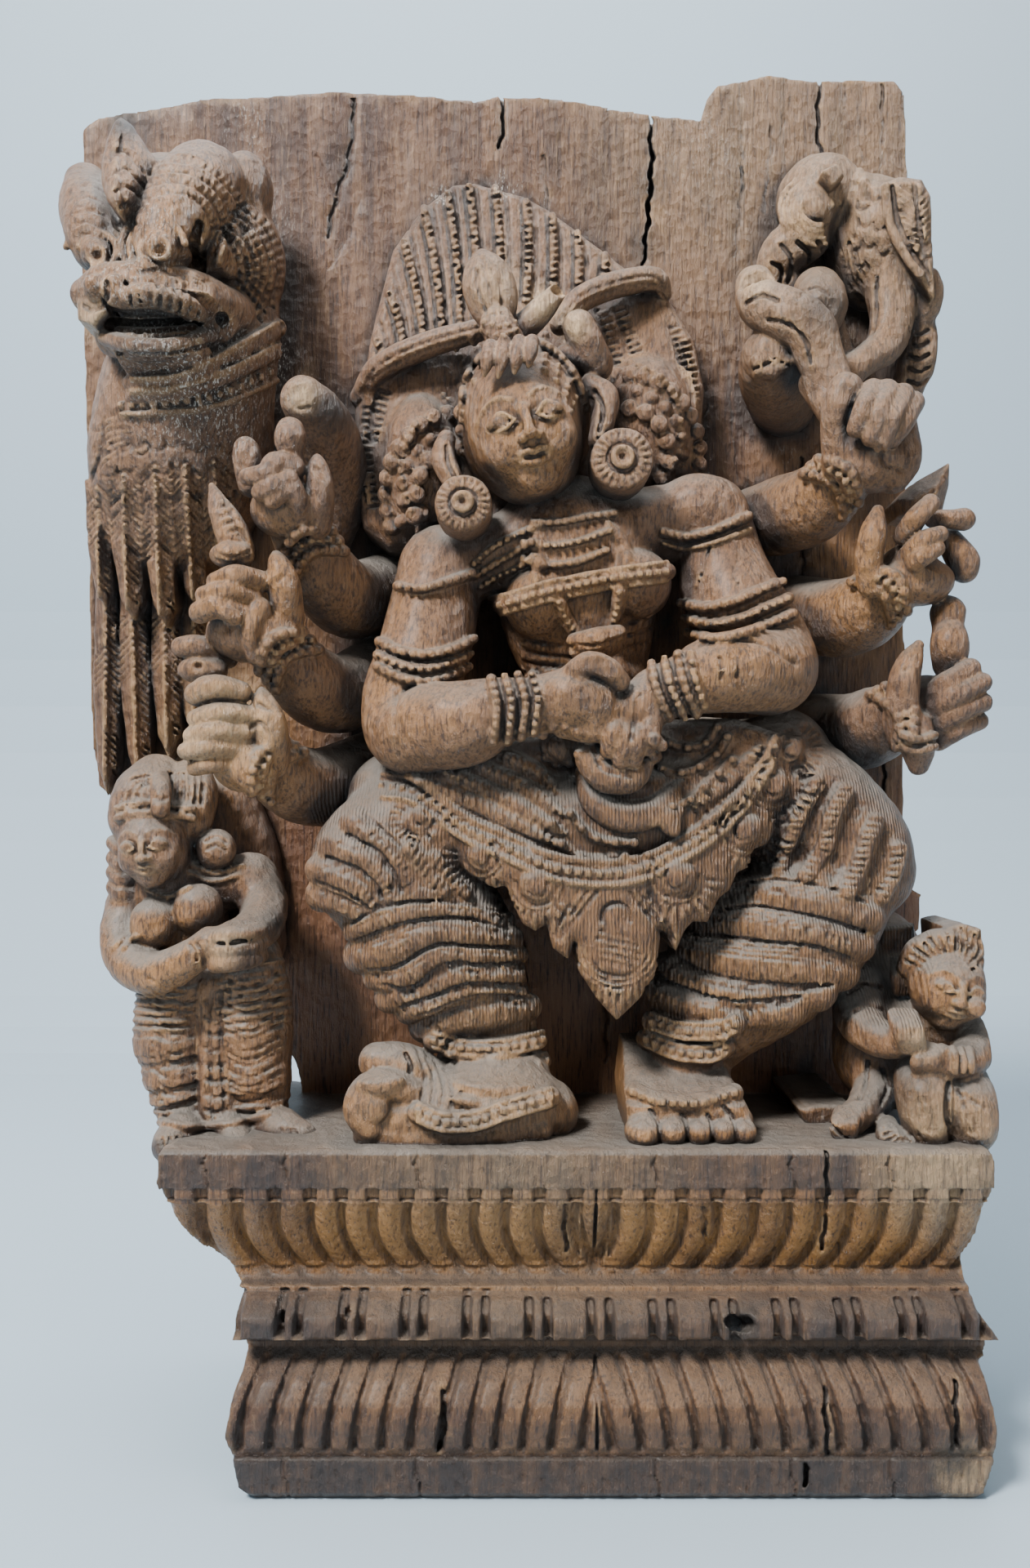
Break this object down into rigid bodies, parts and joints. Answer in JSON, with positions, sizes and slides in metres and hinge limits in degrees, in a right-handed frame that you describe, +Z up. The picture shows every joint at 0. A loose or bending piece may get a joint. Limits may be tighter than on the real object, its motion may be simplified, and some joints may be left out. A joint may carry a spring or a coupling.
{
  "type": "carved temple chariot panel",
  "caption": "Upright hardwood chariot panel carved in high relief: a many-armed dancing goddess among a beaked beast, a small lion and attendants, on a moulded plinth.",
  "frame": {"origin": "bottom centre of the bounding box, in the plane of the flat underside", "axes": "+Z up along the board, the carved front faces -Y, the flat back faces +Y, +X to the right as seen from the front"},
  "size_m": [0.4592, 0.148, 0.7064],
  "materials": {
    "carved_panel": "aged, dry, hand-carved hardwood with dust and worn edges"
  },
  "bodies": {
    "root": {"carved_panel": "carved_panel"}
  },
  "joints": []
}
